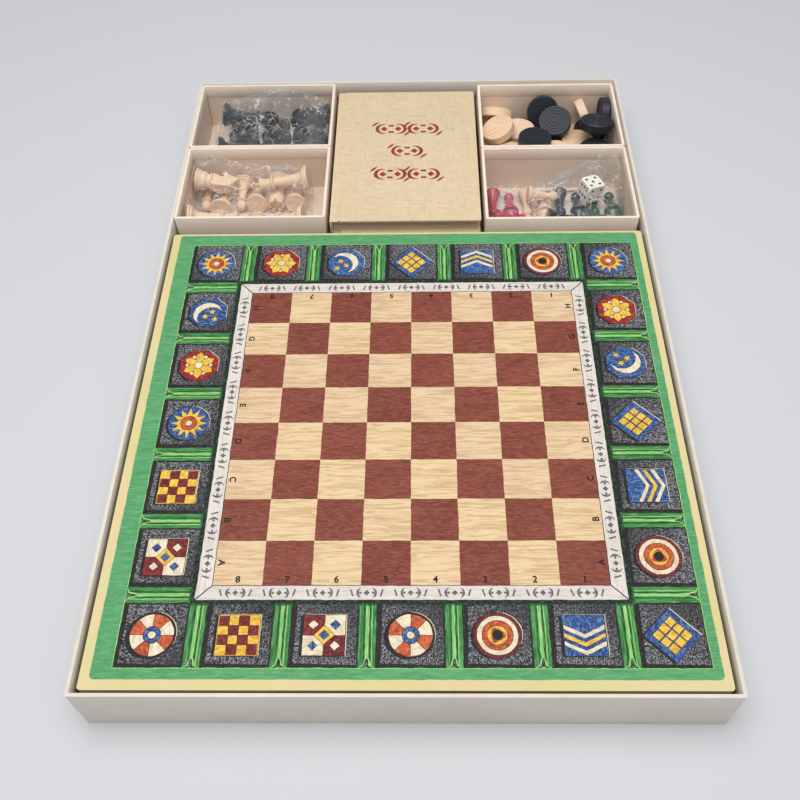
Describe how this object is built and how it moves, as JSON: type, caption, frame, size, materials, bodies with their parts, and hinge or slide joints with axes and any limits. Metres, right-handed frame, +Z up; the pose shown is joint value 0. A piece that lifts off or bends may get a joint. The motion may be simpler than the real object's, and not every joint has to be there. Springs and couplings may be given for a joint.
{
  "type": "games compendium box",
  "caption": "Open base of a games compendium: printed chess board over two more boards, linen-covered book of rules, and card trays with bagged chessmen, loose draughts and counters.",
  "frame": {"origin": "middle of the underside of the box", "axes": "+X across the box to the right, +Y from the boards to the trays at the rear, +Z up"},
  "size_m": [0.342, 0.512, 0.0415],
  "materials": {
    "box_card": "grey-brown greyboard",
    "box_paper": "matt cream paper wrap",
    "board_card": "greyboard",
    "chess_print": "printed paper, satin",
    "ochre_print": "printed paper, satin",
    "tan_print": "printed paper, satin",
    "brown_print": "printed paper, satin",
    "olive_print": "printed paper, satin",
    "brick_print": "printed paper, satin",
    "tray_card": "beige lined card",
    "tray_paper": "matt cream paper wrap",
    "book_linen": "natural linen cloth",
    "book_paper": "page edges",
    "dark_wood": "black-stained, satin",
    "light_wood": "plain turned beech",
    "red_wood": "painted gloss",
    "blue_wood": "painted gloss",
    "green_wood": "painted gloss",
    "die_plastic": "smooth",
    "bag_film": "clear crumpled film"
  },
  "bodies": {
    "box": {"box_floor": "box_card", "box_front_wall": "box_card", "box_rear_wall": "box_card", "box_left_wall": "box_card", "box_right_wall": "box_card", "box_wrap": "box_paper", "board_riser": "box_card", "book_riser": "box_card"},
    "lower_board": {"lower_board": "board_card", "lower_board_face": "olive_print", "lower_board_reverse": "brick_print"},
    "middle_board": {"middle_board": "board_card", "middle_board_face": "tan_print", "middle_board_reverse": "brown_print"},
    "chess_board": {"chess_board": "board_card", "chess_board_face": "chess_print", "chess_board_reverse": "ochre_print"},
    "book": {"book_back_cover": "book_linen", "book_spine": "book_linen", "book_pages": "book_paper"},
    "book_cover": {"book_front_cover": "book_linen"},
    "tray_rear_left": {"tray_rear_left": "tray_card", "tray_rear_left_wrap": "tray_paper"},
    "tray_front_left": {"tray_front_left": "tray_card", "tray_front_left_wrap": "tray_paper"},
    "tray_rear_right": {"tray_rear_right": "tray_card", "tray_rear_right_wrap": "tray_paper"},
    "tray_front_right": {"tray_front_right": "tray_card", "tray_front_right_wrap": "tray_paper"},
    "dark_bag": {"bag_dark_chessmen": "bag_film", "dark_king": "dark_wood", "dark_queen": "dark_wood", "dark_bishops": "dark_wood", "dark_knights": "dark_wood", "dark_rooks": "dark_wood", "dark_pawns": "dark_wood"},
    "light_bag": {"bag_light_chessmen": "bag_film", "light_king": "light_wood", "light_queen": "light_wood", "light_bishops": "light_wood", "light_knights": "light_wood", "light_rooks": "light_wood", "light_pawns": "light_wood"},
    "counter_bag": {"bag_counters": "bag_film", "red_cone_pawns": "red_wood", "natural_cone_pawns": "light_wood", "blue_cone_pawns": "blue_wood", "green_cone_pawns": "green_wood", "die": "die_plastic"},
    "draught_pile": {"light_draughts_lower": "light_wood", "dark_draughts_lower": "dark_wood", "light_draughts_upper": "light_wood", "dark_draughts_upper": "dark_wood"},
    "light_draught_left": {"light_draught_left": "light_wood"},
    "light_draught_rear": {"light_draught_rear": "light_wood"},
    "dark_draught_front": {"dark_draught_front": "dark_wood"},
    "dark_draught_middle": {"dark_draught_middle": "dark_wood"},
    "dark_draught_right": {"dark_draught_right": "dark_wood"}
  },
  "joints": [
    {"name": "lower_board_lift", "type": "slide", "parent": "box", "child": "lower_board", "axis": [0, 0, 1], "range_m": [0, 0.06]},
    {"name": "middle_board_lift", "type": "slide", "parent": "lower_board", "child": "middle_board", "axis": [0, 0, 1], "range_m": [0, 0.04]},
    {"name": "chess_board_lift", "type": "slide", "parent": "middle_board", "child": "chess_board", "axis": [0, 0, 1], "range_m": [0, 0.04]},
    {"name": "book_lift", "type": "slide", "parent": "box", "child": "book", "axis": [0, 0, 1], "range_m": [0, 0.09]},
    {"name": "book_cover_hinge", "type": "hinge", "parent": "book", "child": "book_cover", "pos_m": [-0.0492, 0.1685, 0.038], "axis": [0, -1, 0], "range_deg": [0, 150]},
    {"name": "tray_rear_left_lift", "type": "slide", "parent": "box", "child": "tray_rear_left", "axis": [0, 0, 1], "range_m": [0, 0.045]},
    {"name": "tray_front_left_lift", "type": "slide", "parent": "box", "child": "tray_front_left", "axis": [0, 0, 1], "range_m": [0, 0.045]},
    {"name": "tray_rear_right_lift", "type": "slide", "parent": "box", "child": "tray_rear_right", "axis": [0, 0, 1], "range_m": [0, 0.045]},
    {"name": "tray_front_right_lift", "type": "slide", "parent": "box", "child": "tray_front_right", "axis": [0, 0, 1], "range_m": [0, 0.045]},
    {"name": "dark_bag_lift", "type": "slide", "parent": "tray_rear_left", "child": "dark_bag", "axis": [0, 0, 1], "range_m": [0, 0.045]},
    {"name": "light_bag_lift", "type": "slide", "parent": "tray_front_left", "child": "light_bag", "axis": [0, 0, 1], "range_m": [0, 0.045]},
    {"name": "counter_bag_lift", "type": "slide", "parent": "tray_front_right", "child": "counter_bag", "axis": [0, 0, 1], "range_m": [0, 0.045]},
    {"name": "draught_pile_lift", "type": "slide", "parent": "tray_rear_right", "child": "draught_pile", "axis": [0, 0, 1], "range_m": [0, 0.045]},
    {"name": "light_draught_left_lift", "type": "slide", "parent": "draught_pile", "child": "light_draught_left", "axis": [0, 0, 1], "range_m": [0, 0.03]},
    {"name": "light_draught_rear_lift", "type": "slide", "parent": "draught_pile", "child": "light_draught_rear", "axis": [0, 0, 1], "range_m": [0, 0.03]},
    {"name": "dark_draught_front_lift", "type": "slide", "parent": "draught_pile", "child": "dark_draught_front", "axis": [0, 0, 1], "range_m": [0, 0.03]},
    {"name": "dark_draught_middle_lift", "type": "slide", "parent": "draught_pile", "child": "dark_draught_middle", "axis": [0, 0, 1], "range_m": [0, 0.03]},
    {"name": "dark_draught_right_lift", "type": "slide", "parent": "draught_pile", "child": "dark_draught_right", "axis": [0, 0, 1], "range_m": [0, 0.03]}
  ]
}
